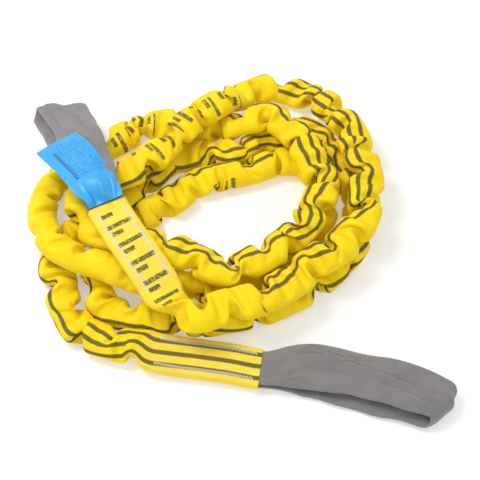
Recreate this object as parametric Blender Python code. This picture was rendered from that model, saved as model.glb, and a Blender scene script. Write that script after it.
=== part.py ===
"""Eye-and-eye round sling, lying loosely coiled on a flat surface.

An endless yarn hank runs through a gathered tubular cover. The cover ends in
two flat sewn cuffs, and past each cuff the hank makes a lifting eye inside a
wear sleeve. Metres, +Z up, the supporting surface is z = 0.
"""
import math

import bmesh
import bpy
from mathutils import Vector

MM = 0.001

# ---- driving dimensions, millimetres ----
COVER_WIDTH = 40.0          # gathered cover, across
COVER_HEIGHT = 32.0         # gathered cover, lying depth
COVER_WALL = 2.0
CUFF_WIDTH = 60.0           # the same cover sewn flat
CUFF_HEIGHT = 22.0
CUFF_TAPER = 45.0           # length over which the cuff rounds into the cover
LEG_WIDTH = 22.0            # one leg of the yarn hank inside the cover
LEG_HEIGHT = 11.0
LEG_OFFSET = 6.2            # leg centre above or below the cover's centre
BAND_WIDTH = 42.0           # the same yarn spread flat in a cuff or an eye
BAND_HEIGHT = 5.0
BAND_OFFSET = 4.9
SLEEVE_WIDTH = 68.0         # wear sleeve round an eye
SLEEVE_HEIGHT = 9.0
SLEEVE_WALL = 1.2
EYE_TURN_RADIUS = 10.5      # centre of the sleeve at the eye's turn
EYE_OPEN_FROM = 0.85        # share of the eye's length where the legs are fully apart
EYE_TURN_STEPS = 6
JOINT_GAP = 0.5             # between a cuff's mouth and the eye's sleeve
LABEL_WIDTH = 70.0
LABEL_THICKNESS = 1.4
STITCH_WIDTH = 3.0
STITCH_HEIGHT = 0.8
STITCH_SWING = 2.5          # zigzag to each side
STITCH_PITCH = 15.0
STITCH_FROM_CENTRE = 16.5
STITCH_LIFT = 0.6

ROUND = 1.0                 # exponent of an oval section
FLAT = 0.25                 # exponent of a flat section with round corners
COVER_SIDES = 12
LEG_SIDES = 8
RING_STEP = 60.0            # longest distance between rings of the cover
RING_TURN = math.radians(24.0)
EYE_STEP = 40.0
LABEL_STEP = 14.0
PER_SPAN = 10               # curve points from one route point to the next

# ---- where the sling lies: (x, y, z) of the centre line, millimetres ----
EYE_A = [  # from the turn of the eye to the cuff
    (-278, 236, 17), (-257, 193, 38), (-237, 148, 64), (-214, 92, 82), (-193, 47, 89),
]
CUFF_A = [  # lying across the coil
    (-176, 8, 86), (-149, -38, 86), (-124, -76, 85), (-98, -114, 76),
]
FIRST_TURN = [  # from cuff a over everything: front, right, back, then down the left side
    (-72, -150, 60), (-42, -154, 56), (-3, -140, 54), (40, -127, 52), (85, -102, 52), (124, -66, 52),
    (163, -39, 52), (194, 3, 52), (208, 57, 52), (204, 116, 52), (188, 179, 46), (161, 239, 30),
    (119, 273, 19), (70, 289, 18), (27, 260, 34), (-16, 227, 54), (-61, 187, 56), (-99, 142, 56),
    (-132, 102, 56), (-171, 85, 54), (-204, 71, 52), (-219, 41, 54), (-214, 9, 54), (-190, -18, 54),
    (-152, -33, 54), (-114, -37, 54),
]
SECOND_TURN = [  # inside of the coil, then under the first turn and round the left end
    (-76, -47, 54), (-38, -69, 54), (6, -81, 52), (46, -59, 52), (84, -34, 52), (111, -2, 52),
    (134, 37, 52), (141, 73, 52), (132, 111, 52), (115, 145, 52), (95, 178, 52), (66, 198, 53),
    (33, 201, 44), (-7, 202, 22), (-49, 208, 17), (-99, 215, 16), (-144, 203, 16), (-184, 178, 16),
    (-220, 152, 17), (-252, 121, 20), (-275, 78, 26), (-279, 23, 40), (-257, -33, 54),
    (-220, -59, 54), (-178, -74, 54), (-143, -88, 50),
]
THIRD_TURN = [  # on the floor inside the coil, and out under the left side
    (-110, -90, 36), (-73, -89, 22), (-34, -89, 17), (5, -82, 16), (49, -58, 16), (92, -29, 16),
    (123, 8, 16), (142, 48, 16), (147, 85, 16), (133, 120, 16), (112, 139, 16), (74, 139, 16),
    (33, 123, 16), (-11, 110, 16), (-51, 97, 16), (-91, 63, 16), (-123, 41, 16), (-152, 8, 16),
    (-176, -32, 16), (-192, -67, 16), (-191, -97, 16), (-176, -122, 16), (-148, -133, 16),
    (-115, -133, 16), (-81, -138, 16), (-40, -141, 16), (-3, -136, 16),
]
FOURTH_TURN = [  # on the floor outside the coil, in at the back, and left to cuff b
    (43, -125, 16), (87, -104, 16), (128, -79, 16), (162, -44, 16), (188, -6, 16), (200, 39, 16),
    (197, 85, 16), (181, 133, 16), (148, 176, 16), (113, 201, 16), (75, 184, 16), (36, 168, 16),
    (-7, 155, 16), (-54, 151, 16), (-93, 143, 16), (-124, 112, 16), (-153, 74, 16), (-185, 44, 16),
    (-216, 17, 16), (-244, -10, 16), (-254, -48, 16), (-246, -85, 16), (-229, -125, 16),
    (-208, -157, 16), (-174, -173, 16), (-141, -182, 16), (-112, -190, 16),
]
COVER_ROUTE = FIRST_TURN + SECOND_TURN + THIRD_TURN + FOURTH_TURN
CUFF_B = [
    (-73, -197, 13), (-32, -202, 11), (6, -208, 11), (46, -216, 11),
]
EYE_B = [  # from the cuff to the turn of the eye
    (101, -217, 12), (163, -230, 13), (237, -252, 16), (290, -273, 16),
]
LABEL = [  # from its seam at cuff a to its free end
    (-179, 14, 100), (-185, 25, 106), (-196, 38, 110), (-217, 67, 106), (-239, 97, 96),
    (-262, 126, 84),
]
CUFF_A_LENGTH = 160.0
CUFF_B_LENGTH = 160.0


# ---- curves and frames ----
def smooth_curve(points):
    """Centripetal Catmull-Rom curve through the points."""
    points = [Vector(p) for p in points]
    ends = [2 * points[0] - points[1]] + points + [2 * points[-1] - points[-2]]
    curve = []
    for i in range(1, len(ends) - 2):
        p0, p1, p2, p3 = ends[i - 1:i + 3]
        t1 = math.sqrt((p1 - p0).length)
        t2 = t1 + math.sqrt((p2 - p1).length)
        t3 = t2 + math.sqrt((p3 - p2).length)
        for k in range(PER_SPAN):
            t = t1 + (t2 - t1) * k / PER_SPAN
            a1 = p0.lerp(p1, t / t1)
            a2 = p1.lerp(p2, (t - t1) / (t2 - t1))
            a3 = p2.lerp(p3, (t - t2) / (t3 - t2))
            b1 = a1.lerp(a2, t / t2)
            b2 = a2.lerp(a3, (t - t1) / (t3 - t1))
            curve.append(b1.lerp(b2, (t - t1) / (t2 - t1)))
    curve.append(points[-1])
    return curve


def with_tangents(curve):
    pairs = []
    for i, point in enumerate(curve):
        before, after = curve[max(i - 1, 0)], curve[min(i + 1, len(curve) - 1)]
        pairs.append((point, (after - before).normalized()))
    return pairs


def stations_along(pairs, step, turn):
    """Stations (point, tangent, across, up, length) no further apart than step or turn."""
    stations = []
    length = since = turned = 0.0
    for i, (point, tangent) in enumerate(pairs):
        if i:
            piece = (point - pairs[i - 1][0]).length
            length += piece
            since += piece
            turned += tangent.angle(pairs[i - 1][1])
        last = i == len(pairs) - 1
        if i == 0 or last or since >= step or turned >= turn:
            if last and since < step / 4:
                stations.pop()
            across = tangent.cross(Vector((0, 0, 1))).normalized()
            up = across.cross(tangent)
            stations.append((point, tangent, across, up, length))
            since = turned = 0.0
    return stations


def ease(t):
    t = min(max(t, 0.0), 1.0)
    return t * t * (3.0 - 2.0 * t)


def mix(a, b, t):
    return a + (b - a) * t


# ---- solids ----
def section(width, height, exponent, sides):
    """Points of an oval or flat section whose facets above and below span its full height."""
    half_facet = math.cos(math.pi / sides) ** exponent
    points = []
    for k in range(sides):
        angle = 2.0 * math.pi * (k + 0.5) / sides
        c, s = math.cos(angle), math.sin(angle)
        points.append((math.copysign(abs(c) ** exponent, c) * width / 2.0 / half_facet,
                       math.copysign(abs(s) ** exponent, s) * height / 2.0 / half_facet))
    return points


def ring(centre, across, up, outline):
    return [centre + across * x + up * y for x, y in outline]


def add_object(name, bm, material):
    bmesh.ops.recalc_face_normals(bm, faces=bm.faces)
    mesh = bpy.data.meshes.new(name)
    bm.to_mesh(mesh)
    bm.free()
    mesh.materials.append(material)
    mesh.shade_smooth()
    mesh.set_sharp_from_angle(angle=math.radians(50.0))
    obj = bpy.data.objects.new(name, mesh)
    bpy.context.scene.collection.objects.link(obj)
    return obj


def skin(bm, rings):
    """Rings of vertices with quads between neighbours."""
    rows = [[bm.verts.new(p * MM) for p in points] for points in rings]
    for low, high in zip(rows, rows[1:]):
        for k in range(len(low)):
            j = (k + 1) % len(low)
            bm.faces.new((low[k], low[j], high[j], high[k]))
    return rows


def solid_bar(name, rings, material):
    """A closed solid through the rings, capped at both ends."""
    bm = bmesh.new()
    rows = skin(bm, rings)
    bm.faces.new(list(reversed(rows[0])))
    bm.faces.new(rows[-1])
    return add_object(name, bm, material)


def open_tube(name, outer, inner, material):
    """A tube wall between two skins, open along its middle."""
    bm = bmesh.new()
    out_rows = skin(bm, outer)
    in_rows = skin(bm, inner)
    for end in (0, -1):
        for k in range(len(out_rows[end])):
            j = (k + 1) % len(out_rows[end])
            bm.faces.new((out_rows[end][k], out_rows[end][j], in_rows[end][j], in_rows[end][k]))
    return add_object(name, bm, material)


def make_material(name, colour, roughness):
    material = bpy.data.materials.new(name)
    material.use_nodes = True
    shader = material.node_tree.nodes["Principled BSDF"]
    shader.inputs["Base Color"].default_value = (*colour, 1.0)
    shader.inputs["Roughness"].default_value = roughness
    shader.inputs["Metallic"].default_value = 0.0
    return material


# ---- cover and yarn ----
def flatness(length, cuffs):
    """1 in a cuff, 0 in the gathered cover."""
    end_of_a, start_of_b = cuffs
    return ease(1.0 - min(length - end_of_a, start_of_b - length) / CUFF_TAPER)


def make_cover(stations, cuffs, material):
    outer, inner = [], []
    for point, _, across, up, length in stations:
        flat = flatness(length, cuffs)
        width = mix(COVER_WIDTH, CUFF_WIDTH, flat)
        height = mix(COVER_HEIGHT, CUFF_HEIGHT, flat)
        exponent = mix(ROUND, FLAT, flat)
        outer.append(ring(point, across, up, section(width, height, exponent, COVER_SIDES)))
        wall = 2.0 * COVER_WALL
        inner.append(ring(point, across, up,
                          section(width - wall, height - wall, exponent, COVER_SIDES)))
    return open_tube("body_cover", outer, inner, material)


def make_hank_leg(name, stations, cuffs, side, material):
    rings = []
    for point, _, across, up, length in stations:
        flat = flatness(length, cuffs)
        outline = section(mix(LEG_WIDTH, BAND_WIDTH, flat), mix(LEG_HEIGHT, BAND_HEIGHT, flat),
                          mix(ROUND, FLAT, flat), LEG_SIDES)
        offset = side * mix(LEG_OFFSET, BAND_OFFSET, flat)
        rings.append(ring(point + up * offset, across, up, outline))
    return solid_bar(name, rings, material)


# ---- eyes ----
def eye_path(stations):
    """Stations along an eye's top leg, round its turn and back along the lower leg."""
    total = stations[-1][4]
    top, low = [], []
    for point, ahead, across, up, length in stations:
        if length == 0.0:
            point = point + ahead * JOINT_GAP
        opening = ease(length / total / EYE_OPEN_FROM)
        offset = mix(BAND_OFFSET, EYE_TURN_RADIUS, opening)
        top.append((point + up * offset, across, up))
        low.append((point - up * offset, across, -up))
    point, ahead, across, up, _ = stations[-1]
    turn = []
    for k in range(1, EYE_TURN_STEPS):
        angle = math.pi * k / EYE_TURN_STEPS
        outward = up * math.cos(angle) + ahead * math.sin(angle)
        turn.append((point + outward * EYE_TURN_RADIUS, across, outward))
    return top + turn + list(reversed(low))


def make_eye(letter, stations, sleeve_material, yarn_material):
    path = eye_path(stations)
    wall = 2.0 * SLEEVE_WALL
    outer_outline = section(SLEEVE_WIDTH, SLEEVE_HEIGHT, FLAT, COVER_SIDES)
    inner_outline = section(SLEEVE_WIDTH - wall, SLEEVE_HEIGHT - wall, FLAT, COVER_SIDES)
    yarn_outline = section(BAND_WIDTH, BAND_HEIGHT, FLAT, LEG_SIDES)
    outer = [ring(p, across, up, outer_outline) for p, across, up in path]
    inner = [ring(p, across, up, inner_outline) for p, across, up in path]
    yarn = [ring(p, across, up, yarn_outline) for p, across, up in path]
    open_tube("eye_sleeve_" + letter, outer, inner, sleeve_material)
    solid_bar("hank_loop_" + letter, yarn, yarn_material)


# ---- label and stitching ----
def make_label(curve_points, material):
    rings = []
    pairs = with_tangents(smooth_curve(curve_points))
    for point, _, across, up, _ in stations_along(pairs, LABEL_STEP, RING_TURN):
        half, thick = LABEL_WIDTH / 2.0, LABEL_THICKNESS / 2.0
        rings.append(ring(point, across, up,
                          [(half, -thick), (half, thick), (-half, thick), (-half, -thick)]))
    solid_bar("label", rings, material)


def make_stitch_row(name, stations, side, material):
    """A zigzag of thread along one edge of a cuff's top face."""
    top = CUFF_HEIGHT / 2.0 + STITCH_LIFT
    rings = []
    reach = stations[-1][4] - stations[0][4]
    count = 2 * int(reach / STITCH_PITCH)
    for k in range(count + 1):
        length = stations[0][4] + reach * (k + 0.5) / (count + 1)
        low, high = next((a, b) for a, b in zip(stations, stations[1:]) if b[4] >= length)
        share = (length - low[4]) / (high[4] - low[4])
        point = low[0].lerp(high[0], share)
        across = low[2].lerp(high[2], share).normalized()
        up = low[3].lerp(high[3], share).normalized()
        swing = STITCH_SWING if k % 2 else -STITCH_SWING
        centre = point + across * (side * STITCH_FROM_CENTRE + swing) + up * (top + STITCH_HEIGHT / 2)
        half, tall = STITCH_WIDTH / 2.0, STITCH_HEIGHT / 2.0
        outline = [(half, -tall), (half, tall), (-half, tall), (-half, -tall)]
        rings.append(ring(centre, across, up, outline))
    solid_bar(name, rings, material)


def main():
    for obj in list(bpy.data.objects):
        bpy.data.objects.remove(obj)

    yellow = make_material("cover", (0.93, 0.66, 0.02), 0.75)
    grey = make_material("sleeve", (0.26, 0.24, 0.24), 0.85)
    blue = make_material("label", (0.06, 0.40, 0.90), 0.40)
    white = make_material("thread", (0.85, 0.83, 0.78), 0.70)
    yarn = make_material("yarn", (0.80, 0.78, 0.70), 0.80)

    line = with_tangents(smooth_curve(EYE_A + CUFF_A + COVER_ROUTE + CUFF_B + EYE_B))
    mouth_a = len(EYE_A) * PER_SPAN
    mouth_b = len(line) - 1 - len(EYE_B) * PER_SPAN
    eye_a = [(point, -tangent) for point, tangent in reversed(line[:mouth_a + 1])]
    eye_b = line[mouth_b:]

    stations = stations_along(line[mouth_a:mouth_b + 1], RING_STEP, RING_TURN)
    cuffs = (CUFF_A_LENGTH, stations[-1][4] - CUFF_B_LENGTH)
    make_cover(stations, cuffs, yellow)
    make_hank_leg("hank_leg_upper", stations, cuffs, 1.0, yarn)
    make_hank_leg("hank_leg_lower", stations, cuffs, -1.0, yarn)
    make_eye("a", stations_along(eye_a, EYE_STEP, RING_TURN), grey, yarn)
    make_eye("b", stations_along(eye_b, EYE_STEP, RING_TURN), grey, yarn)

    rows_a = [s for s in stations if s[4] <= cuffs[0]]
    rows_b = [s for s in stations if s[4] >= cuffs[1]]
    for side_name, side in (("left", -1.0), ("right", 1.0)):
        make_stitch_row("stitch_row_a_" + side_name, rows_a, side, white)
        make_stitch_row("stitch_row_b_" + side_name, rows_b, side, white)
    make_label(LABEL, blue)


main()
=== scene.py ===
"""Looks of the eye-and-eye round sling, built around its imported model."""

import math

import bpy
import numpy as np
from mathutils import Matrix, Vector


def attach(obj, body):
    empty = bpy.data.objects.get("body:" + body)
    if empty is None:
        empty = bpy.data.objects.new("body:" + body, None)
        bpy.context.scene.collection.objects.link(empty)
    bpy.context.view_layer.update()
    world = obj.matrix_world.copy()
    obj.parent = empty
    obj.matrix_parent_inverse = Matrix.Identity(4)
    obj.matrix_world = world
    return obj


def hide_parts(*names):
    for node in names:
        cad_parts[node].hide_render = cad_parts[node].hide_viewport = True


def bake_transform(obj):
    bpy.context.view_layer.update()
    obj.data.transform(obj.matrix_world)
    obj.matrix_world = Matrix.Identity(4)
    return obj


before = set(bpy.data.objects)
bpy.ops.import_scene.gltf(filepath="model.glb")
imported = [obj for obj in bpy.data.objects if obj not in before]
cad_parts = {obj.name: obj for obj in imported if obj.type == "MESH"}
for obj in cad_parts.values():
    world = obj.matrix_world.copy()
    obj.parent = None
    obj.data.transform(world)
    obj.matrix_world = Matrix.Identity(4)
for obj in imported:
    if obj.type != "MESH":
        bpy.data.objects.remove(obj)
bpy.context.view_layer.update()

MM = 0.001
TAU = 2.0 * math.pi

# ---- camera and light ----
CAMERA_AT = (0.017, -0.8289, 1.3329)
CAMERA_TILT = 32.0          # degrees from straight down
CAMERA_LENS = 77.55
CAMERA_SENSOR = 36.0
FLOOR_HALF = 4.0

# ---- where the sling lies, millimetres, as in the part ----
EYE_A = [
    (-278, 236, 17), (-257, 193, 38), (-237, 148, 64), (-214, 92, 82), (-193, 47, 89),
]
CUFF_A = [
    (-176, 8, 86), (-149, -38, 86), (-124, -76, 85), (-98, -114, 76),
]
FIRST_TURN = [
    (-72, -150, 60), (-42, -154, 56), (-3, -140, 54), (40, -127, 52), (85, -102, 52),
    (124, -66, 52), (163, -39, 52), (194, 3, 52), (208, 57, 52), (204, 116, 52), (188, 179, 46),
    (161, 239, 30),
    (119, 273, 19), (70, 289, 18), (27, 260, 34), (-16, 227, 54), (-61, 187, 56), (-99, 142, 56),
    (-132, 102, 56), (-171, 85, 54), (-204, 71, 52), (-219, 41, 54), (-214, 9, 54), (-190, -18, 54),
    (-152, -33, 54), (-114, -37, 54),
]
SECOND_TURN = [
    (-76, -47, 54), (-38, -69, 54), (6, -81, 52), (46, -59, 52), (84, -34, 52), (111, -2, 52),
    (134, 37, 52), (141, 73, 52), (132, 111, 52), (115, 145, 52), (95, 178, 52), (66, 198, 53),
    (33, 201, 44), (-7, 202, 22), (-49, 208, 17), (-99, 215, 16), (-144, 203, 16), (-184, 178, 16),
    (-220, 152, 17), (-252, 121, 20), (-275, 78, 26), (-279, 23, 40), (-257, -33, 54),
    (-220, -59, 54), (-178, -74, 54), (-143, -88, 50),
]
THIRD_TURN = [
    (-110, -90, 36), (-73, -89, 22), (-34, -89, 17), (5, -82, 16), (49, -58, 16), (92, -29, 16),
    (123, 8, 16), (142, 48, 16), (147, 85, 16), (133, 120, 16), (112, 139, 16), (74, 139, 16),
    (33, 123, 16), (-11, 110, 16), (-51, 97, 16), (-91, 63, 16), (-123, 41, 16), (-152, 8, 16),
    (-176, -32, 16), (-192, -67, 16), (-191, -97, 16), (-176, -122, 16), (-148, -133, 16),
    (-115, -133, 16), (-81, -138, 16), (-40, -141, 16), (-3, -136, 16),
]
FOURTH_TURN = [
    (43, -125, 16), (87, -104, 16), (128, -79, 16), (162, -44, 16), (188, -6, 16), (200, 39, 16),
    (197, 85, 16), (181, 133, 16), (148, 176, 16), (113, 201, 16), (75, 184, 16), (36, 168, 16),
    (-7, 155, 16), (-54, 151, 16), (-93, 143, 16), (-124, 112, 16), (-153, 74, 16), (-185, 44, 16),
    (-216, 17, 16), (-244, -10, 16), (-254, -48, 16), (-246, -85, 16), (-229, -125, 16),
    (-208, -157, 16), (-174, -173, 16), (-141, -182, 16), (-112, -190, 16),
]
CUFF_B = [
    (-73, -197, 13), (-32, -202, 11), (6, -208, 11), (46, -216, 11),
]
EYE_B = [
    (101, -217, 12), (163, -230, 13), (237, -252, 16), (290, -273, 16),
]
LABEL = [
    (-179, 14, 100), (-185, 25, 106), (-196, 38, 110), (-217, 67, 106), (-239, 97, 96),
    (-262, 126, 84),
]
LABEL_SEAM = (-176, 8, 97)  # the cloth goes on from the part's label into the cuff's mouth
PER_SPAN = 10

# ---- the cover, metres ----
ROUND_TUBE = 0.120          # length of cloth once round the cover
TUBE_WIDTH = 0.035          # the gathered cover's section before it settles
TUBE_HEIGHT = 0.033
CUFF_LENGTH = 0.160
CUFF_TAPER = 0.045          # length over which the cuff rounds into the cover
CUFF_LOOSE = 0.35           # share of the taper by which the cloth comes free within the cuff
CUFF_WIDTH = 0.060
CUFF_THICK = 0.017
CUFF_SQUARE = 0.33          # exponent of the cuff's section, 1 for an oval
COLUMNS = 40
RING_STEP = 0.0036
GATHER = 1.48               # cloth length over route length
CALM_GATHER = 1.10          # the same where the cover lies smooth
LOBE_PITCH = 0.098          # one lobe to the right and one to the left
LOBE_DEPTH = 0.0125
LOBE_LIFT = 0.005
FACE_WINDOW = 25            # rings over which a twist of the cover is spread
PINCH = 0.34                # most that the cloth is drawn in between two lobes, as a share
PINCH_REACH = 0.006
SIDE_LIMIT = 0.0275
CALM_SIDE_LIMIT = 0.0215
TALL_LIMIT = 0.0185
HEM = [(0.0, 0.0008), (0.002, 0.0016), (0.014, 0.0018)]   # depth into the mouth, step inwards

# ---- how the cover's cloth settles ----
ROUNDS = 190
PASSES = 4                  # of the springs in each round
DAMPING = 0.88
WEIGHT = 0.00003            # metres a round
SWELL = 0.006               # share by which the yarn and the air push the cloth outwards
STRETCH = 0.24              # shares of a spring's error that each pass takes away
SHEAR = 0.08
BEND_ALONG = (0.03, 0.006)  # two rings apart and four rings apart
BEND_ROUND = (0.05, 0.02)   # two columns apart and four columns apart
ROUND_REACH = (1.97, 3.8)   # those columns' least distance, in columns: the tube is round
STAY_ALONG = 0.995
ABOVE_FLOOR = 0.0006

# ---- neighbours of the cover ----
WALLS = 4                   # neighbours that a ring of the cover can meet
OWN_LENGTH = 0.09           # nearer along the cover than this is the ring's own stretch
WALL_REACH = 0.075
WALL_SPACING = 0.05         # least length between two neighbours of one ring
WALL_GAP = 0.0005
LEAST_ROOM = 0.012

# ---- the yarn ----
CORE = 0.0098               # radius that the hank keeps free of cloth
YARN_ROUND = 0.0150         # the hank's diameter in the cover
YARN_FLAT = (0.042, 0.010)  # its width and height in a cuff
YARN_STEP = 0.006
YARN_SIDES = 10

# ---- the eyes' sleeves ----
SLEEVE_INSET = 0.012        # length inside the cuff
SLEEVE_STEP = 0.0032
SLEEVE_COLUMNS = 80
SLEEVE_ROUND = 0.14         # length of cloth once round the sleeve
SLEEVE_SQUARE = 0.5
SLEEVE_THICK = 0.0084
MOUTH_THICK = 0.0056
MOUTH_GAP = 0.0047          # from the eye's line to the middle of either leg, at the mouth
GAP_FULL_AT = 0.85          # share of the eye's length where the legs are fully apart
MOUTH_EASE = 0.05           # length over which the cloth gets its wrinkles
WRINKLE = (0.040, 0.0030)   # length and height
WRINKLES_ACROSS = 6
PUCKER = (0.016, 0.0016)
SLANT_FROM = 0.35           # share of the eye's length where its turn begins to slant
TURN_STEPS = 10
TURN_NARROWER = 0.08

# ---- the label ----
LABEL_WIDTH = 0.070
LABEL_THICK = 0.0009
LABEL_SEAM_WIDTH = 0.052
LABEL_RINGS = 56
LABEL_COLUMNS = 24
LABEL_LINE = 0.0042         # from one row of marks to the next

# ---- the stitching ----
STITCH_PITCH = 0.0042
STITCH_SWING = 0.0026       # zigzag to each side
STITCH_FROM_MIDDLE = 0.0195
STITCH_START = 0.008        # from the cuff's mouth
STITCH_END = CUFF_LENGTH - 0.012
THREAD_RADIUS = 0.0006

# folds in the top layer of an eye's sleeve: from and to along the eye (0 at the cuff, 1 at the
# turn), from and to across it, height
LAPS_A = [(0.30, 1.25, -0.017, -0.021, 0.0045), (0.50, 1.10, 0.016, 0.006, 0.0020)]
LAPS_B = [
    (-0.12, 0.62, -0.012, -0.019, 0.0046), (0.36, 1.05, -0.015, 0.003, 0.0050),
    (0.20, 0.42, -0.032, -0.014, 0.0034), (0.32, 0.52, -0.032, -0.016, 0.0030),
    (0.62, 1.10, 0.008, 0.020, 0.0034), (0.05, 0.50, 0.020, 0.006, 0.0030),
]
LAP_EASE = 0.2              # share of a fold's length in which it rises and dies away
LAP_SLOPE = (0.008, 0.004)  # how far it reaches to either side of its line

# how each eye's sleeve lies: widths at the mouth and in full, drift of the upper leg to the
# right, how slanted the turn is, and how rounded its left and right corners are
EYES = {
    "a": {"turn_gap": 0.0098, "mouth_width": 0.054, "full_width": 0.068, "full_at": 0.25,
          "tip_loss": 0.0, "drift": 0.007, "drift_at": 0.8, "slant": 0.62,
          "corners": (0.0, 6.0), "laps": LAPS_A, "seed": 3},
    "b": {"turn_gap": 0.0100, "mouth_width": 0.052, "full_width": 0.069, "full_at": 0.30,
          "tip_loss": 0.008, "drift": -0.006, "drift_at": 0.5, "slant": 0.30,
          "corners": (4.0, 5.0), "laps": LAPS_B, "seed": 11},
}

# smooth stretches of the cover: (index in the route, 1 gathered to 0 smooth)
BUSY = [
    (0, 1.0), (13, 1.0), (14, 0.7), (16, 0.7), (18, 1.0), (26, 0.75), (30, 0.75), (34, 1.0),
    (44, 1.0), (45.5, 0.15), (51, 0.15), (53, 1.0), (63, 0.8), (65, 0.45), (67, 0.8), (70, 0.8),
    (72, 0.6), (77, 0.8), (80, 1.0), (106, 1.0),
]

# where the striped face of the cover looks: (index in the route, degrees), 0 to the right of
# the way the route runs, 90 up
STRIPED_FACE = [
    (-4, -90), (0, -90), (4, -210), (7, -200), (9, -230), (11, -245), (12, -280), (13, -340),
    (14, -360), (15, -420), (16, -455), (17, -460), (18, -490), (19, -510), (21, -450),
    (24, -500), (26, -580), (29, -575), (31, -610), (33, -630), (35, -670), (37, -700),
    (39, -710), (42, -790), (46, -810), (60, -810), (63, -710), (66, -715), (68, -760),
    (71, -730), (74, -735), (77, -740), (80, -790), (83, -700), (86, -620), (88, -615),
    (91, -570), (94, -560), (98, -370), (100, -365), (102, -320), (104, -285), (106, -270),
    (110, -270),
]

# the marks printed on the other face: (from, to) by index in the route
PRINTED = [(-3.7, -0.3), (14.5, 19.3), (41.4, 44.4), (64.4, 65.6), (98.2, 98.8)]
PRINT_PITCH = 0.033
STRIPES = (0.125, 0.25, 0.375)   # where the stripes run, in turns round the cover
STRIPE_HALF = 0.0235
THREAD_PITCH = 0.0034            # of the stripes' coarse weft


# ---- curves ----
def smooth_curve(points):
    """Centripetal Catmull-Rom curve through the points, metres."""
    points = [Vector(p) * MM for p in points]
    ends = [2 * points[0] - points[1]] + points + [2 * points[-1] - points[-2]]
    curve = []
    for i in range(1, len(ends) - 2):
        p0, p1, p2, p3 = ends[i - 1:i + 3]
        t1 = math.sqrt((p1 - p0).length)
        t2 = t1 + math.sqrt((p2 - p1).length)
        t3 = t2 + math.sqrt((p3 - p2).length)
        for k in range(PER_SPAN):
            t = t1 + (t2 - t1) * k / PER_SPAN
            a1 = p0.lerp(p1, t / t1)
            a2 = p1.lerp(p2, (t - t1) / (t2 - t1))
            a3 = p2.lerp(p3, (t - t2) / (t3 - t2))
            b1 = a1.lerp(a2, t / t2)
            b2 = a2.lerp(a3, (t - t1) / (t3 - t1))
            curve.append(b1.lerp(b2, (t - t1) / (t2 - t1)))
    curve.append(points[-1])
    return np.array([list(p) for p in curve])


class Line:
    """A curve that gives its points and frames at any length along it."""

    def __init__(self, points):
        self.points = np.asarray(points)
        steps = np.linalg.norm(np.diff(self.points, axis=0), axis=1)
        self.lengths = np.concatenate([[0.0], np.cumsum(steps)])
        self.length = float(self.lengths[-1])

    def at(self, s):
        s = np.asarray(s, float)
        inside = np.clip(s, 0.0, self.length)
        p = np.stack([np.interp(inside, self.lengths, self.points[:, k]) for k in range(3)], -1)
        before = (self.points[1] - self.points[0]) / self.lengths[1]
        after = (self.points[-1] - self.points[-2]) / (self.length - self.lengths[-2])
        return (p + np.minimum(s, 0.0)[..., None] * before
                + np.maximum(s - self.length, 0.0)[..., None] * after)

    def frames(self, s, reach=0.008):
        """Points, ahead, across (to the right) and up."""
        p = self.at(s)
        ahead = unit(self.at(np.asarray(s) + reach) - self.at(np.asarray(s) - reach))
        across = unit(np.cross(ahead, (0.0, 0.0, 1.0)))
        return p, ahead, across, np.cross(across, ahead)


def unit(v):
    return v / (np.linalg.norm(v, axis=-1, keepdims=True) + 1e-12)


def ease(t):
    t = np.clip(t, 0.0, 1.0)
    return t * t * (3.0 - 2.0 * t)


def mix(a, b, t):
    return a + (b - a) * t


def wander(rng, s, wavelength, count=1):
    """Smooth seeded noise along s, about -1 to 1, one row for each of count."""
    knots = np.arange(s.min() - 3 * wavelength, s.max() + 4 * wavelength, wavelength)
    values = rng.uniform(-1.0, 1.0, (count, len(knots)))
    place = (s - knots[0]) / wavelength
    low = np.floor(place).astype(int)
    share = ease(place - low)
    return values[:, low] * (1.0 - share) + values[:, low + 1] * share


# ---- meshes ----
def grid_mesh(name, rows, uv, material, closed=True):
    """A quad mesh over rows of points (rings, columns, 3), with UVs from uv(ring, column)."""
    n, m = rows.shape[:2]
    last = m if closed else m - 1
    faces, corners = [], []
    for i in range(n - 1):
        for j in range(last):
            k = (j + 1) % m
            faces.append((i * m + j, i * m + k, (i + 1) * m + k, (i + 1) * m + j))
            corners += [uv(i, j), uv(i, j + 1), uv(i + 1, j + 1), uv(i + 1, j)]
    mesh = bpy.data.meshes.new(name)
    mesh.from_pydata(rows.reshape(-1, 3).tolist(), [], faces)
    layer = mesh.uv_layers.new(name="fabric")
    layer.data.foreach_set("uv", np.array(corners, dtype=np.float32).ravel())
    mesh.materials.append(material)
    mesh.shade_smooth()
    obj = bpy.data.objects.new(name, mesh)
    bpy.context.scene.collection.objects.link(obj)
    return obj


def subdivide(obj, levels=1):
    modifier = obj.modifiers.new("smooth", "SUBSURF")
    modifier.levels = modifier.render_levels = levels


def rod(name, centres, normals, radius, material, sides=6):
    """A thread: a closed tube of that radius along the points."""
    ahead = unit(np.gradient(centres, axis=0))
    side = unit(np.cross(ahead, normals))
    top = np.cross(side, ahead)
    angles = np.arange(sides) * TAU / sides
    rings = (centres[:, None] + radius * (np.cos(angles)[None, :, None] * side[:, None]
                                          + np.sin(angles)[None, :, None] * top[:, None]))
    faces = []
    for i in range(len(rings) - 1):
        for j in range(sides):
            k = (j + 1) % sides
            faces.append((i * sides + j, i * sides + k, (i + 1) * sides + k, (i + 1) * sides + j))
    last = (len(rings) - 1) * sides
    faces += [tuple(reversed(range(sides))), tuple(range(last, last + sides))]
    mesh = bpy.data.meshes.new(name)
    mesh.from_pydata(rings.reshape(-1, 3).tolist(), [], faces)
    mesh.materials.append(material)
    mesh.shade_smooth()
    obj = bpy.data.objects.new(name, mesh)
    bpy.context.scene.collection.objects.link(obj)
    return obj


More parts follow.
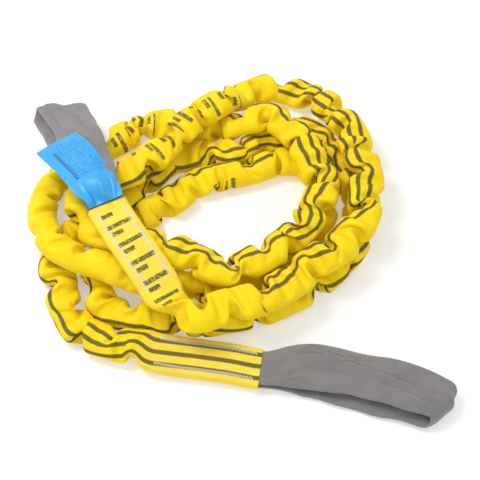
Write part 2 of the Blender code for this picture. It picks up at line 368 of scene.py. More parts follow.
# ---- materials ----
def new_material(name):
    material = bpy.data.materials.new(name)
    material.use_nodes = True
    tree = material.node_tree
    return material, tree, tree.nodes["Principled BSDF"]


def put(tree, kind, *inputs, **settings):
    """A node with its inputs in order: a node or (node, output) is linked, a value is set."""
    node = tree.nodes.new("ShaderNode" + kind)
    for key, value in settings.items():
        setattr(node, key, value)
    for slot, value in enumerate(inputs):
        if value is not None:
            give(tree, node.inputs[slot], value)
    return node


def give(tree, socket, value):
    if isinstance(value, bpy.types.Node):
        value = (value, 0)
    if isinstance(value, tuple) and isinstance(value[0], bpy.types.Node):
        tree.links.new(value[0].outputs[value[1]], socket)
    else:
        socket.default_value = value


def calc(tree, operation, *values):
    return put(tree, "Math", *values, operation=operation)


def waves(tree, value, period, turn=0.0):
    return calc(tree, "SINE", calc(tree, "MULTIPLY_ADD", value, TAU / period, turn))


def band(tree, value, centre, half):
    """1 within half of centre."""
    return calc(tree, "LESS_THAN", calc(tree, "ABSOLUTE", calc(tree, "SUBTRACT", value, centre)),
                half)


def fabric_uv(tree):
    return put(tree, "SeparateXYZ", put(tree, "UVMap", uv_map="fabric"))


def noise_at(tree, scale, detail=2.0, rough=0.5):
    return put(tree, "TexNoise", (put(tree, "TexCoord"), 3), None, scale, detail, rough)


def ridges_at(tree, place, scale, detail):
    """Noise with sharp ridges, for creases."""
    return put(tree, "TexNoise", place, None, scale, detail, 0.5,
               noise_type="RIDGED_MULTIFRACTAL", normalize=True)


def larger(tree, masks):
    """The largest of several masks."""
    result = masks[0]
    for mask in masks[1:]:
        result = calc(tree, "MAXIMUM", result, mask)
    return result


def set_values(shader, **values):
    """Sets plain values on the shader's own sockets."""
    for name, value in values.items():
        shader.inputs[name.replace("_", " ")].default_value = value


def route_length(line, index):
    """Length along the cover at a place in its route, counted in route points."""
    return np.interp((np.asarray(index, float) + len(CUFF_A)) * PER_SPAN,
                     np.arange(len(line.points)), line.lengths)


def past_cuffs(line, s):
    """How flat the cover lies, 1 in the sewn cuffs, and how free its cloth is, 0 in them."""
    beyond = np.minimum(s - CUFF_LENGTH, line.length - CUFF_LENGTH - s)
    return ease(1.0 - beyond / CUFF_TAPER), ease(beyond / CUFF_TAPER + CUFF_LOOSE)


def gathering(line, s):
    """How busy the cover's folds are, and cloth length over route length."""
    knots = np.array(BUSY)
    busy = np.interp(s, route_length(line, knots[:, 0]), knots[:, 1])
    free = past_cuffs(line, s)[1]
    return busy * free, mix(1.0, mix(CALM_GATHER, GATHER, busy), free)


def cloth_lengths(line, s):
    """Length of cloth used up at each length of the cover."""
    return np.concatenate([[0.0], np.cumsum(np.diff(s) * gathering(line, s)[1][1:])])


def stripe_mask(tree, u, v):
    """The woven stripes, with frayed edges and flecks of yellow weft."""
    fine = noise_at(tree, 900.0, 1.0)
    frayed = calc(tree, "MULTIPLY_ADD", (fine, 0), 0.010, calc(tree, "SUBTRACT", u, 0.005))
    frayed = calc(tree, "MULTIPLY_ADD", waves(tree, v, THREAD_PITCH), 0.0035, frayed)
    stripes = larger(tree, [band(tree, frayed, centre, STRIPE_HALF) for centre in STRIPES])
    flecks = calc(tree, "MULTIPLY", waves(tree, v, THREAD_PITCH), waves(tree, u, 0.021))
    flecks = calc(tree, "GREATER_THAN", flecks, 0.55)
    return calc(tree, "MULTIPLY", stripes, calc(tree, "MULTIPLY_ADD", flecks, -0.42, 0.95))


def print_mask(tree, u, v, line, s, cloth):
    """Plain bars, long and short in turn, worn thin in places."""
    cell = calc(tree, "FRACT", calc(tree, "DIVIDE", v, PRINT_PITCH))
    tall = band(tree, u, 0.75, 0.135)
    short = band(tree, u, 0.69, 0.06)
    bars = larger(tree, [calc(tree, "MULTIPLY", band(tree, cell, 0.24, 0.11), tall),
                         calc(tree, "MULTIPLY", band(tree, cell, 0.62, 0.11), short)])
    inked = []
    for indexes in PRINTED:
        start, end = (float(v) for v in np.interp(route_length(line, indexes), s, cloth))
        inked.append(band(tree, v, (start + end) / 2.0, (end - start) / 2.0))
    worn = put(tree, "MapRange", noise_at(tree, 260.0, 3.0), 0.36, 0.5, 0.45, 0.92)
    return calc(tree, "MULTIPLY", calc(tree, "MULTIPLY", bars, larger(tree, inked)), worn)


def cover_bump(tree, u, v):
    """Creases of several sizes, and the weave over them."""
    weave = calc(tree, "MULTIPLY", waves(tree, v, 0.0013), waves(tree, u, 0.0105))
    ridges = ridges_at(tree, (put(tree, "TexCoord"), 3), 34.0, 2.0)
    bump = put(tree, "Bump", 0.45, 0.0022, None, (ridges, 0))
    turned = calc(tree, "MULTIPLY", u, TAU)
    round_x, round_y = calc(tree, "COSINE", turned), calc(tree, "SINE", turned)
    for share, pace, tall in ((1.1, 95.0, 0.0016), (3.6, 26.0, 0.0014)):
        place = put(tree, "CombineXYZ", calc(tree, "MULTIPLY", round_x, share),
                    calc(tree, "MULTIPLY", round_y, share), calc(tree, "MULTIPLY", v, pace))
        bump = put(tree, "Bump", 0.4, tall, None, (ridges_at(tree, place, 1.0, 1.5), 0),
                   (bump, 0))
    fold = noise_at(tree, 90.0, 3.0, 0.55)
    bump = put(tree, "Bump", 0.35, 0.0014, None, (fold, 0), (bump, 0))
    return put(tree, "Bump", 0.35, 0.0003, None, weave, (bump, 0))


def cover_material(line):
    material, tree, shader = new_material("woven_cover")
    place = fabric_uv(tree)
    u, v = (place, 0), (place, 1)
    s = np.linspace(0.0, line.length, 2000)
    cloth = cloth_lengths(line, s)

    cloud = put(tree, "MapRange", (noise_at(tree, 24.0, 4.0, 0.6), 0), 0.35, 0.65, 0.0, 1.0)
    yellow = put(tree, "MixRGB", cloud, (0.93, 0.655, 0.003, 1), (0.98, 0.755, 0.004, 1))
    thread = put(tree, "MixRGB", (noise_at(tree, 480.0, 2.0), 0), (0.82, 0.82, 0.82, 1),
                 (1.08, 1.08, 1.08, 1))
    yellow = put(tree, "MixRGB", 1.0, yellow, thread, blend_type="MULTIPLY")
    last_cuff = float(cloth[-1]) - CUFF_LENGTH
    first = put(tree, "MapRange", v, CUFF_LENGTH - 0.01, CUFF_LENGTH + 0.03, 1.0, 0.0)
    last = put(tree, "MapRange", v, last_cuff - 0.03, last_cuff + 0.01, 0.0, 1.0)
    pale = put(tree, "MapRange", (noise_at(tree, 420.0, 2.0), 0), 0.35, 0.65, 0.10, 0.48)
    cuffs = calc(tree, "MULTIPLY", larger(tree, [first, last]), pale)
    yellow = put(tree, "MixRGB", cuffs, yellow, (0.88, 0.70, 0.20, 1))
    colour = put(tree, "MixRGB", stripe_mask(tree, u, v), yellow, (0.058, 0.052, 0.028, 1))
    colour = put(tree, "MixRGB", print_mask(tree, u, v, line, s, cloth), colour,
                 (0.085, 0.078, 0.034, 1))

    give(tree, shader.inputs["Base Color"], colour)
    give(tree, shader.inputs["Normal"], cover_bump(tree, u, v))
    give(tree, shader.inputs["Roughness"],
         put(tree, "MapRange", noise_at(tree, 40.0), 0.3, 0.7, 0.50, 0.66))
    set_values(shader, Specular_IOR_Level=0.22, Sheen_Weight=0.04, Sheen_Roughness=0.4)
    return material


def sleeve_material():
    material, tree, shader = new_material("ribbed_sleeve")
    place = fabric_uv(tree)
    u, v = (place, 0), (place, 1)
    colour = put(tree, "MixRGB", (noise_at(tree, 30.0, 4.0), 0), (0.190, 0.181, 0.180, 1),
                 (0.265, 0.254, 0.251, 1))
    speck = put(tree, "MapRange", (noise_at(tree, 1400.0, 1.0), 0), 0.3, 0.7, 0.85, 1.12)
    give(tree, shader.inputs["Base Color"],
         put(tree, "MixRGB", 1.0, colour, speck, blend_type="MULTIPLY"))

    stretched = put(tree, "CombineXYZ", calc(tree, "MULTIPLY", u, 42.0),
                    calc(tree, "MULTIPLY", v, 11.0), 0.0)
    bump = put(tree, "Bump", 0.55, 0.0045, None, (ridges_at(tree, stretched, 1.0, 2.0), 0))
    bump = put(tree, "Bump", 0.4, 0.0014, None, (noise_at(tree, 60.0, 3.0), 0), (bump, 0))
    rib, pick = waves(tree, u, 0.0016), waves(tree, v, 0.0014)
    weave = calc(tree, "MULTIPLY_ADD", calc(tree, "MULTIPLY", rib, pick), 0.5, rib)
    give(tree, shader.inputs["Normal"], put(tree, "Bump", 0.5, 0.0004, None, weave, (bump, 0)))
    give(tree, shader.inputs["Roughness"],
         put(tree, "MapRange", noise_at(tree, 50.0), 0.3, 0.7, 0.78, 0.92))
    set_values(shader, Specular_IOR_Level=0.25, Sheen_Weight=0.3, Sheen_Roughness=0.5)
    return material


def label_material():
    """Blue tag with one bold row and many fine rows of meaningless dashes."""
    material, tree, shader = new_material("blue_label")
    place = fabric_uv(tree)
    u, v = (place, 0), (place, 1)
    lines = calc(tree, "DIVIDE", calc(tree, "MULTIPLY", u, LABEL_WIDTH), LABEL_LINE)
    row, inside = calc(tree, "FLOOR", lines), calc(tree, "FRACT", lines)
    words = put(tree, "TexNoise", put(tree, "CombineXYZ", calc(tree, "MULTIPLY", v, 330.0),
                                      calc(tree, "MULTIPLY", row, 7.3), 0.0), None, 1.0, 1.0)
    dash = calc(tree, "MULTIPLY", calc(tree, "GREATER_THAN", (words, 0), 0.46),
                band(tree, inside, 0.5, 0.17))
    lengths = put(tree, "TexNoise", put(tree, "CombineXYZ", 0.0, calc(tree, "MULTIPLY", row, 3.1),
                                        0.0), None, 1.0, 0.0)
    far_end = calc(tree, "MULTIPLY_ADD", (lengths, 0), 0.09, 0.085)
    rows = calc(tree, "MULTIPLY", calc(tree, "GREATER_THAN", v, 0.052),
                calc(tree, "LESS_THAN", v, far_end))
    fine = calc(tree, "MULTIPLY", calc(tree, "MULTIPLY", dash, rows), band(tree, u, 0.60, 0.33))
    blocks = calc(tree, "GREATER_THAN", waves(tree, v, 0.0058), -0.45)
    bold = calc(tree, "MULTIPLY", calc(tree, "MULTIPLY", band(tree, u, 0.26, 0.040), blocks),
                band(tree, v, 0.090, 0.038))
    ink = larger(tree, [calc(tree, "MULTIPLY", fine, 0.55), calc(tree, "MULTIPLY", bold, 0.85)])
    blue = put(tree, "MixRGB", (noise_at(tree, 26.0, 2.0), 0), (0.035, 0.335, 0.72, 1),
               (0.050, 0.385, 0.80, 1))
    give(tree, shader.inputs["Base Color"],
         put(tree, "MixRGB", ink, blue, (0.01, 0.05, 0.16, 1)))
    give(tree, shader.inputs["Normal"],
         put(tree, "Bump", 0.3, 0.001, None, (noise_at(tree, 55.0, 2.0), 0)))
    give(tree, shader.inputs["Roughness"],
         put(tree, "MapRange", noise_at(tree, 90.0), 0.3, 0.7, 0.34, 0.46))
    set_values(shader, Specular_IOR_Level=0.4)
    return material


def thread_material(name, dark, light, scale):
    material, tree, shader = new_material(name)
    strands = noise_at(tree, scale, 2.0)
    give(tree, shader.inputs["Base Color"], put(tree, "MixRGB", (strands, 0), dark, light))
    give(tree, shader.inputs["Normal"], put(tree, "Bump", 0.4, 0.0004, None, (strands, 0)))
    give(tree, shader.inputs["Roughness"],
         put(tree, "MapRange", (strands, 0), 0.3, 0.7, 0.6, 0.8))
    return material


def floor_material():
    material, tree, shader = new_material("floor")
    give(tree, shader.inputs["Base Color"],
         put(tree, "MixRGB", (noise_at(tree, 3.0), 0), (0.70, 0.70, 0.70, 1),
             (0.72, 0.72, 0.72, 1)))
    set_values(shader, Emission_Color=(1.0, 1.0, 1.0, 1.0), Emission_Strength=0.31,
               Roughness=0.9, Specular_IOR_Level=0.1)
    return material


# ---- shaping the cover ----
def outline(width, height, exponent, turns):
    """Points of a section at shares of its way round, 0 at the right and 0.25 on top."""
    angles = np.linspace(0.0, TAU, 257)
    c, s = np.cos(angles), np.sin(angles)
    x = np.sign(c) * np.abs(c) ** exponent * width / 2.0
    y = np.sign(s) * np.abs(s) ** exponent * height / 2.0
    way = np.concatenate([[0.0], np.cumsum(np.hypot(np.diff(x), np.diff(y)))])
    place = np.mod(turns, 1.0) * way[-1]
    return np.stack([np.interp(place, way, x), np.interp(place, way, y)], -1)


def spring(x, rest, share, rings, columns, push_only=False):
    """Moves vertices that many rings and columns apart towards their rest distance."""
    a = x[:-rings] if rings else x
    b = np.roll(x, -columns, 1)[rings:]
    d = b - a
    length = np.sqrt((d * d).sum(-1, keepdims=True)) + 1e-9
    pull = share * (1.0 - rest / length)
    if push_only:
        pull = np.minimum(pull, 0.0)
    d *= pull
    a += d
    x[rings:] -= np.roll(d, columns, 1)


def walls(p, s, foreign):
    """For each ring, its nearest neighbours as (direction, room) planes.
    foreign is (points, lengths, half sizes); the ring's own stretch is skipped."""
    points, lengths, halves = foreign
    planes = []
    for i in range(len(p)):
        gap = np.linalg.norm(points - p[i], axis=1)
        near = np.where((np.abs(lengths - s[i]) > OWN_LENGTH) & (gap < WALL_REACH))[0]
        near = near[np.argsort(gap[near])]
        mine, used = [], []
        for k in near:
            if all(abs(lengths[k] - u) > WALL_SPACING for u in used):
                used.append(lengths[k])
                direction = (points[k] - p[i]) / gap[k]
                room = gap[k] / 2.0 if halves[k] == 0.0 else gap[k] - halves[k]
                mine.append((*direction, max(room - WALL_GAP, LEAST_ROOM)))
            if len(mine) == WALLS:
                break
        mine += [(0.0, 0.0, 0.0, 1.0)] * (WALLS - len(mine))
        planes.append(mine)
    return np.array(planes)


def keep_apart(x, p, planes):
    """Keeps the vertices on their own side of each wall."""
    for k in range(WALLS):
        direction = planes[:, None, k, :3]
        over = ((x - p[:, None]) * direction).sum(-1) - planes[:, k, 3][:, None]
        x -= np.maximum(over, 0.0)[..., None] * direction


def hold_round_yarn(x, frames, core, pinches, side_limit):
    """Keeps the cloth off the yarn, draws it in at the pinches, and keeps it within its room."""
    p, _, across, up = frames
    rel = x - p[:, None]
    a = (rel * across[:, None]).sum(-1)
    b = (rel * up[:, None]).sum(-1)
    along = rel - a[..., None] * across[:, None] - b[..., None] * up[:, None]
    da, db = a - core[:, :1], b - core[:, 1:]
    r = np.sqrt(da * da + db * db) + 1e-9
    towards = np.maximum((da * pinches[:, 1:2] + db * pinches[:, 2:]) / r, 0.0)
    drawn = pinches[:, :1] * np.sqrt(towards)
    grow = np.maximum(CORE / r, 1.0 - drawn * (1.0 - np.minimum(CORE / r, 1.0)))
    a, b = core[:, :1] + da * grow, core[:, 1:] + db * grow
    out = np.maximum(np.sqrt((a / side_limit) ** 2 + (b / TALL_LIMIT) ** 2), 1.0)
    a, b = a / out, b / out
    x[:] = (p[:, None] + a[..., None] * across[:, None] + b[..., None] * up[:, None]
            + along * STAY_ALONG)


def settle(x, frames, s, gather, busy, core, pinches, planes, free):
    """Lets the gathered cloth buckle round the yarn and settle on what it lies on.
    core is the yarn's middle in each ring, (to the right, up), and pinches (strength,
    to the right, up) where the cloth is drawn in to it."""
    pinned = x.copy()
    wide = ROUND_TUBE / COLUMNS
    along = float(s[1] - s[0]) * gather
    along1 = ((along[1:] + along[:-1]) / 2.0)[:, None, None]
    along2 = (along[2:] + along[:-2])[:, None, None]
    along4 = (2.0 * (along[4:] + along[:-4]))[:, None, None]
    diagonal = np.sqrt(along1 ** 2 + wide ** 2)
    side_limit = mix(CALM_SIDE_LIMIT, SIDE_LIMIT, busy)[:, None]
    before = x.copy()
    for _ in range(ROUNDS):
        speed = (x - before) * DAMPING
        before = x.copy()
        x += speed
        x[..., 2] -= WEIGHT
        x += (x - x.mean(1, keepdims=True)) * SWELL
        for _ in range(PASSES):
            spring(x, along1, STRETCH, 1, 0)
            spring(x, wide, STRETCH, 0, 1)
            spring(x, diagonal, SHEAR, 1, 1)
            spring(x, diagonal, SHEAR, 1, -1)
            spring(x, along2, BEND_ALONG[0], 2, 0, True)
            spring(x, along4, BEND_ALONG[1], 4, 0, True)
            spring(x, ROUND_REACH[0] * wide, BEND_ROUND[0], 0, 2, True)
            spring(x, ROUND_REACH[1] * wide, BEND_ROUND[1], 0, 4, True)
        hold_round_yarn(x, frames, core, pinches, side_limit)
        keep_apart(x, frames[0], planes)
        x[..., 2] = np.maximum(x[..., 2], ABOVE_FLOOR)
        x[:] = mix(pinned, x, free[:, None, None])
    return x


def face_angle(line, s):
    """Degrees to which the striped face looks, smoothed along the cover."""
    knots = np.array(STRIPED_FACE, float)
    facing = np.interp(s, route_length(line, knots[:, 0]), knots[:, 1])
    window = np.hanning(FACE_WINDOW) / np.hanning(FACE_WINDOW).sum()
    return np.convolve(np.pad(facing, FACE_WINDOW // 2, mode="edge"), window, "valid")


def lobes(rng, s, busy):
    """Sway to the sides and its depth, lift, and the pinches, one between any two lobes."""
    pace = np.cumsum((1.0 + 0.4 * wander(rng, s, 0.12)[0]) * np.gradient(s)) / LOBE_PITCH
    sway = np.sin(pace * TAU)
    depth = LOBE_DEPTH * (0.85 + 0.35 * wander(rng, s, 0.12)[0]) * busy
    lift = LOBE_LIFT * np.sin(pace * TAU * 0.63 + 1.3) * busy
    nearest = np.round(pace * 2.0 - 0.5)
    off_site = (pace * 2.0 - 0.5 - nearest) * LOBE_PITCH / 2.0
    side = np.where(nearest % 2 == 0, -1.0, 1.0)
    site = (nearest - nearest.min()).astype(int)
    tilt = rng.uniform(-0.9, 0.9, int(site.max()) + 1)[site] + off_site * 25.0
    strength = rng.uniform(0.0, 1.0, len(s))[site] ** 1.3
    pinches = np.stack([PINCH * strength * np.exp(-(off_site / PINCH_REACH) ** 2) * busy,
                        side * np.cos(tilt), np.sin(tilt)], -1)
    return sway, depth, lift, pinches


def turn_in_mouths(x, ahead):
    """Adds a hem's rings inside each mouth of the cover."""
    for end, outward in ((0, -1.0), (-1, 1.0)):
        ring = x[end]
        middle = ring.mean(0)
        hem = np.array([ring + unit(middle - ring) * shrink - outward * depth * ahead[end]
                        for depth, shrink in HEM])
        x = np.concatenate([hem[::-1], x]) if end == 0 else np.concatenate([x, hem])
    return x


def make_cover(line, obstacles, material):
    rng = np.random.default_rng(7)
    rings = int(line.length / RING_STEP) // 2 * 2
    s = np.linspace(0.0, line.length, rings)
    frames = line.frames(s)
    p, ahead, across, up = frames
    flat, free = past_cuffs(line, s)
    facing = face_angle(line, s)
    busy, gather = gathering(line, s)
    sway, depth, lift, pinches = lobes(rng, s, busy)
    core = np.stack([0.35 * sway * depth, 0.3 * lift], -1)

    u = np.arange(COLUMNS) / COLUMNS
    x = np.empty((rings, COLUMNS, 3))
    rough = wander(rng, s, 0.02, COLUMNS).T
    ripple = wander(rng, s, 0.009, COLUMNS // 4).T.repeat(4, axis=1)
    for i in range(rings):
        width = mix(TUBE_WIDTH, CUFF_WIDTH, flat[i])
        height = mix(TUBE_HEIGHT, CUFF_THICK, flat[i])
        shape = outline(width, height, mix(1.0, CUFF_SQUARE, flat[i]),
                        facing[i] / 360.0 + u - 0.25)
        shape *= 1.0 + free[i] * (0.08 * rough[i] + 0.07 * ripple[i])[:, None]
        centre = p[i] + across[i] * sway[i] * depth[i] + up[i] * lift[i]
        x[i] = centre + shape[:, :1] * across[i] + shape[:, 1:] * up[i]

    cuff_halves = np.where(flat[::3] > 0.6, CUFF_THICK / 2.0 + 0.001, 0.0)
    own = (p[::3], s[::3], cuff_halves)
    planes = walls(p, s, [np.concatenate(pair) for pair in zip(own, obstacles)])
    x = settle(x, frames, s, gather, np.maximum(busy, flat), core, pinches, planes, free)

    cloth = cloth_lengths(line, s)
    cloth = np.concatenate([[cloth[0]] * len(HEM), cloth, [cloth[-1]] * len(HEM)])
    cover = grid_mesh("cover", turn_in_mouths(x, ahead),
                      lambda i, j: (j / COLUMNS, cloth[i]), material)
    subdivide(cover)
    return cover, x, s, core


def make_yarn(line, cover_s, core, material):
    """The yarn hank inside the cover, flat in the cuffs and round between them."""
    s = np.linspace(0.004, line.length - 0.004, int(line.length / YARN_STEP))
    p, _, across, up = line.frames(s)
    flat = past_cuffs(line, s)[0]
    u = np.arange(YARN_SIDES) / YARN_SIDES
    rows = []
    for i in range(len(s)):
        shape = outline(mix(YARN_ROUND, YARN_FLAT[0], flat[i]),
                        mix(YARN_ROUND, YARN_FLAT[1], flat[i]), 0.8, u)
        shape += [np.interp(s[i], cover_s, core[:, 0]), np.interp(s[i], cover_s, core[:, 1])]
        rows.append(p[i] + shape[:, :1] * across[i] + shape[:, 1:] * up[i])
    yarn_hank = grid_mesh("yarn_hank", np.array(rows),
                          lambda i, j: (j / YARN_SIDES, s[i]), material)
    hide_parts("hank_leg_upper", "hank_leg_lower")
    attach(yarn_hank, "sling_body")


# ---- eyes ----
def eye_rings(line, eye):
    """The rings' centres, outward and sideways directions, widths, room to the eye's line,
    share of the eye's length, and whether they are in the upper leg: out along the upper
    leg, round the turn, and back underneath."""
    s = np.linspace(-SLEEVE_INSET, line.length, int((line.length + SLEEVE_INSET) / SLEEVE_STEP))
    p, ahead, across, up = line.frames(s)
    share = np.clip(s / line.length, 0.0, 1.0)
    gap = mix(MOUTH_GAP, eye["turn_gap"], ease(share / GAP_FULL_AT))
    slip = (eye["drift"] * ease(share / eye["drift_at"]))[:, None] * across
    width = (mix(eye["mouth_width"], eye["full_width"], ease(share / eye["full_at"]))
             - eye["tip_loss"] * ease(share * 4.0 - 3.0))
    turn = np.linspace(0.0, math.pi, TURN_STEPS + 1)[1:-1]
    arc_up = np.array([up[-1] * math.cos(t) + ahead[-1] * math.sin(t) for t in turn])
    arc = p[-1] + slip[-1] * np.cos(turn)[:, None] + arc_up * gap[-1]
    offset = slip + up * gap[:, None]
    centres = np.concatenate([p + offset, arc, (p - offset)[::-1]])
    outward = np.concatenate([up, arc_up, -up[::-1]])
    side = np.concatenate([across, [across[-1]] * len(arc), across[::-1]])
    widths = np.concatenate([width, width[-1] * (1.0 - TURN_NARROWER * np.sin(turn)),
                             width[::-1]])
    room = np.concatenate([gap, [gap[-1]] * len(arc), gap[::-1]])
    leg = np.concatenate([share, np.ones(len(arc)), share[::-1]])
    upper = np.arange(len(centres)) < len(s)
    return centres, outward, side, widths, room, leg, upper, ahead[-1]


def sleeve_rows(line, eye):
    """The sleeve's rings and those of the yarn inside it, and the way along them."""
    rng = np.random.default_rng(eye["seed"])
    centres, outward, side, widths, room, leg, upper, tip_ahead = eye_rings(line, eye)
    way = np.concatenate([[0.0], np.cumsum(np.linalg.norm(np.diff(centres, axis=0), axis=1))])
    u = np.arange(SLEEVE_COLUMNS) / SLEEVE_COLUMNS
    wrinkles = wander(rng, way, WRINKLE[0], WRINKLES_ACROSS).T * WRINKLE[1]
    pucker = wander(rng, way, PUCKER[0])[0] * PUCKER[1]
    loose = ease(np.minimum(way, way[-1] - way) / MOUTH_EASE)
    other_face = -np.arange(SLEEVE_COLUMNS) % SLEEVE_COLUMNS
    rows, inner = [], []
    for i in range(len(centres)):
        thick = mix(MOUTH_THICK, SLEEVE_THICK, loose[i])
        shape = outline(widths[i], thick, SLEEVE_SQUARE, u)
        across_share = shape[:, 0] / widths[i] + 0.5
        crease = np.interp(across_share * (WRINKLES_ACROSS - 1), np.arange(WRINKLES_ACROSS),
                           wrinkles[i])
        bend = (crease + pucker[i] * np.sin(across_share * TAU * 2)) * loose[i]
        if upper[i]:
            lap = lap_height(shape[:, 0], leg[i], eye["laps"]) * loose[i]
            bend = bend + lap * np.where(shape[:, 1] > 0.0, 1.0, 0.5)
        bend = np.maximum(bend, thick / 2.0 + WALL_GAP - room[i])
        sideways = shape[:, :1] * (1.0 + edge_wave(way[i], eye["seed"]) * loose[i])
        corner = np.where(sideways > 0.0, eye["corners"][1], eye["corners"][0])
        back = ((sideways * eye["slant"] + corner * sideways ** 2)
                * ease((leg[i] - SLANT_FROM) / (1.0 - SLANT_FROM)))
        tall = shape[:, 1] + bend
        within = mix(tall[other_face], tall, 0.54)
        rows.append(centres[i] + sideways * side[i] + tall[:, None] * outward[i]
                    - back * tip_ahead)
        inner.append(centres[i] + 0.9 * sideways * side[i] + within[:, None] * outward[i]
                     - back * tip_ahead)
    rows, inner = np.array(rows), np.array(inner)
    rows[..., 2] = np.maximum(rows[..., 2], ABOVE_FLOOR)
    inner[..., 2] = np.maximum(inner[..., 2], 2.0 * ABOVE_FLOOR)
    return rows, inner, way


def lap_height(lateral, t, laps):
    """Folds in the upper layer: the cloth on one side of a line stands over the other."""
    height = np.zeros_like(lateral)
    for t0, t1, from_side, to_side, tall in laps:
        share = (t - t0) / (t1 - t0)
        if 0.0 < share < 1.0:
            fade = min(ease(share / LAP_EASE), ease((1.0 - share) / LAP_EASE)) * tall
            off = lateral - mix(from_side, to_side, share)
            height += fade * np.where(off > 0.0, np.exp(-np.maximum(off, 0.0) / LAP_SLOPE[0]),
                                      -0.5 * np.exp(np.minimum(off, 0.0) / LAP_SLOPE[1]))
    return height


def edge_wave(way, seed):
    """How much wider or narrower the sleeve is there, as a share."""
    return 0.03 * math.sin(way * 41.0 + seed) + 0.02 * math.sin(way * 97.0 + 2.0 * seed)


def make_sleeve(letter, line, cloth, yarn):
    rows, inner, way = sleeve_rows(line, EYES[letter])
    sleeve = grid_mesh("sleeve_" + letter, rows,
                       lambda i, j: (j * SLEEVE_ROUND / SLEEVE_COLUMNS, way[i]), cloth)
    yarn_loop = grid_mesh("yarn_loop_" + letter, inner,
                          lambda i, j: (j / SLEEVE_COLUMNS, way[i]), yarn)
    subdivide(sleeve)
    mouth = line.at(0.0)
    ahead = unit(line.at(0.01) - mouth)
    for piece, node, slot in ((sleeve, "eye_sleeve_", "sleeve"),
                              (yarn_loop, "hank_loop_", "yarn")):
        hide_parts(node + letter)
        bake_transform(piece)


# ---- label ----
def label_lift(t, w):
    """Height of the label over its line, t along it and w across it, -1 to 1."""
    waves_at_seam = 0.0040 * (1.0 - ease(t / 0.40)) * ease(t / 0.05)
    lift = waves_at_seam * math.sin(w * 6.0 + 0.6 + 3.0 * t)
    crumple = 1.0 - abs(math.sin(w * 4.6 - 5.0 * t + 0.4))
    lift += 0.0075 * crumple ** 2 * ease((0.34 - t) / 0.26) * ease(t / 0.06)
    curled_edge = max(w - 0.3, 0.0) ** 1.5
    lift -= 0.024 * curled_edge * ease((0.7 - t) / 0.4) * ease(t / 0.15)
    return lift + 0.0015 * math.sin(t * 9.0 + w * 2.0)


def make_label(material):
    line = Line(smooth_curve([LABEL_SEAM] + LABEL))
    s = np.linspace(0.0, line.length, LABEL_RINGS)
    p, _, across, up = line.frames(s)
    rows = np.empty((LABEL_RINGS, LABEL_COLUMNS + 1, 3))
    for i in range(LABEL_RINGS):
        t = s[i] / line.length
        gathered = 1.0 - ease(t / 0.40)
        half = mix(LABEL_WIDTH, LABEL_SEAM_WIDTH, 1.0 - ease(t / 0.22)) / 2.0
        for j in range(LABEL_COLUMNS + 1):
            w = j / LABEL_COLUMNS * 2.0 - 1.0
            side = half * w * (1.0 - 0.10 * gathered * math.cos(w * 8.0))
            rows[i, j] = p[i] + across[i] * side + up[i] * label_lift(t, w)
    label = grid_mesh("label_cloth", rows, lambda i, j: (j / LABEL_COLUMNS, s[i]), material,
                      closed=False)
    thick = label.modifiers.new("thickness", "SOLIDIFY")
    thick.thickness = LABEL_THICK
    thick.offset = 0.0
    subdivide(label)
    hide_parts("label")
    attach(label, "label")


# ---- stitching ----
def make_stitches(letter, side_name, line, cover_rows, s, material):
    """Zigzag thread lying on top of a cuff, to one side of its middle."""
    from_middle = STITCH_FROM_MIDDLE if side_name == "right" else -STITCH_FROM_MIDDLE
    count = int((STITCH_END - STITCH_START) / STITCH_PITCH * 2)
    way = np.linspace(STITCH_START, STITCH_END, count * 2)
    if letter == "b":
        way = s[-1] - way
    p, _, across, up = line.frames(way)
    swing = np.array([0.0, 1.0, 0.0, -1.0])[np.arange(len(way)) % 4] * STITCH_SWING
    centres = []
    for k in range(len(way)):
        place = np.interp(way[k], s, np.arange(len(s)))
        low = int(place)
        ring = mix(cover_rows[low], cover_rows[min(low + 1, len(s) - 1)], place - low)
        rel = ring - p[k]
        a, b = rel @ across[k], rel @ up[k]
        top = b > 0.0
        order = np.argsort(a[top])
        sideways = from_middle + swing[k]
        height = np.interp(sideways, a[top][order], b[top][order])
        centres.append(p[k] + across[k] * sideways + up[k] * (height + THREAD_RADIUS / 2.0))
    thread = rod("stitching_" + letter + "_" + side_name, np.array(centres), up, THREAD_RADIUS,
                 material)
    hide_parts("stitch_row_" + letter + "_" + side_name)
    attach(thread, "sling_body")


# ---- camera, floor, lights ----
def make_camera():
    data = bpy.data.cameras.new("camera")
    data.lens = CAMERA_LENS
    data.sensor_width = CAMERA_SENSOR
    camera = bpy.data.objects.new("camera", data)
    camera.location = CAMERA_AT
    camera.rotation_euler = (math.radians(CAMERA_TILT), 0.0, 0.0)
    bpy.context.scene.collection.objects.link(camera)
    bpy.context.scene.camera = camera


def make_floor():
    mesh = bpy.data.meshes.new("floor")
    corners = [(-1, -1), (1, -1), (1, 1), (-1, 1)]
    mesh.from_pydata([(FLOOR_HALF * x, FLOOR_HALF * y, 0.0) for x, y in corners], [],
                     [(0, 1, 2, 3)])
    mesh.materials.append(floor_material())
    floor = bpy.data.objects.new("floor", mesh)
    bpy.context.scene.collection.objects.link(floor)


def area_light(name, place, size, power, colour):
    data = bpy.data.lights.new(name, "AREA")
    data.energy = power
    data.size = size
    data.color = colour
    lamp = bpy.data.objects.new(name, data)
    lamp.location = place
    lamp.rotation_euler = (Vector((0, 0, 0)) - Vector(place)).to_track_quat("-Z", "Y").to_euler()
    bpy.context.scene.collection.objects.link(lamp)


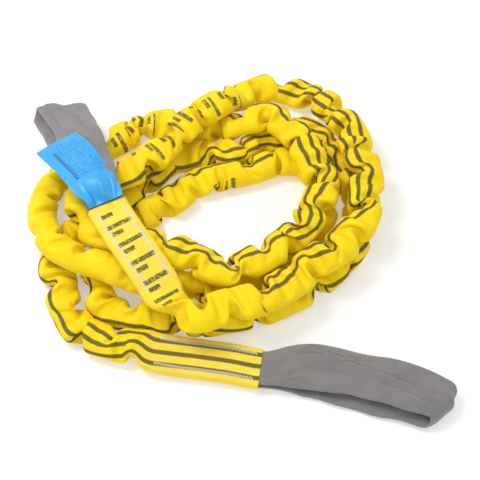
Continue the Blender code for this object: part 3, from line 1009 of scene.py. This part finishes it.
def make_lights():
    world = bpy.data.worlds.new("studio")
    world.use_nodes = True
    world.node_tree.nodes["Background"].inputs[0].default_value = (1.0, 1.0, 1.0, 1.0)
    world.node_tree.nodes["Background"].inputs[1].default_value = 0.74
    bpy.context.scene.world = world
    area_light("key", (-0.9, 0.5, 1.6), 0.7, 18.5, (1.0, 0.985, 0.96))
    area_light("fill", (1.0, -1.2, 1.5), 1.6, 6.0, (0.98, 0.99, 1.0))
    bpy.context.scene.view_settings.view_transform = "Standard"


def obstacles_under(line):
    """The eye that lies on the coil, as points, lengths and half sizes that the cover's cloth
    keeps below."""
    s = np.linspace(0.01, line.length, 24)
    p, _, across, _ = line.frames(s)
    halves = mix(0.011, 0.017, s / line.length)
    return (np.concatenate([p, p + 0.025 * across, p - 0.025 * across]),
            np.tile(-1.0 - s, 3), np.tile(halves, 3))


def declare_cover(cover, line):
    """Hides the part's cover and attaches the cloth cover to the sling's body."""
    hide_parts("body_cover")
    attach(cover, "sling_body")
    path = line.at(np.linspace(0.0, line.length, 420))


make_camera()
whole = smooth_curve(EYE_A + CUFF_A + FIRST_TURN + SECOND_TURN + THIRD_TURN + FOURTH_TURN
                     + CUFF_B + EYE_B)
mouth_a = len(EYE_A) * PER_SPAN
mouth_b = len(whole) - 1 - len(EYE_B) * PER_SPAN
cover_line = Line(whole[mouth_a:mouth_b + 1])
eye_a_line = Line(whole[:mouth_a + 1][::-1])
eye_b_line = Line(whole[mouth_b:])

cover_cloth = cover_material(cover_line)
sleeve_cloth = sleeve_material()
white_thread = thread_material("white_thread", (0.72, 0.70, 0.64, 1), (0.95, 0.94, 0.90, 1), 900.0)
yarn = thread_material("yarn", (0.62, 0.58, 0.48, 1), (0.85, 0.82, 0.74, 1), 600.0)

cover, cover_rows, cover_s, core = make_cover(cover_line, obstacles_under(eye_a_line), cover_cloth)
declare_cover(cover, cover_line)
make_sleeve("a", eye_a_line, sleeve_cloth, yarn)
make_sleeve("b", eye_b_line, sleeve_cloth, yarn)
make_label(label_material())
for letter in ("a", "b"):
    for side_name in ("left", "right"):
        make_stitches(letter, side_name, cover_line, cover_rows, cover_s, white_thread)
make_yarn(cover_line, cover_s, core, yarn)
make_floor()
make_lights()
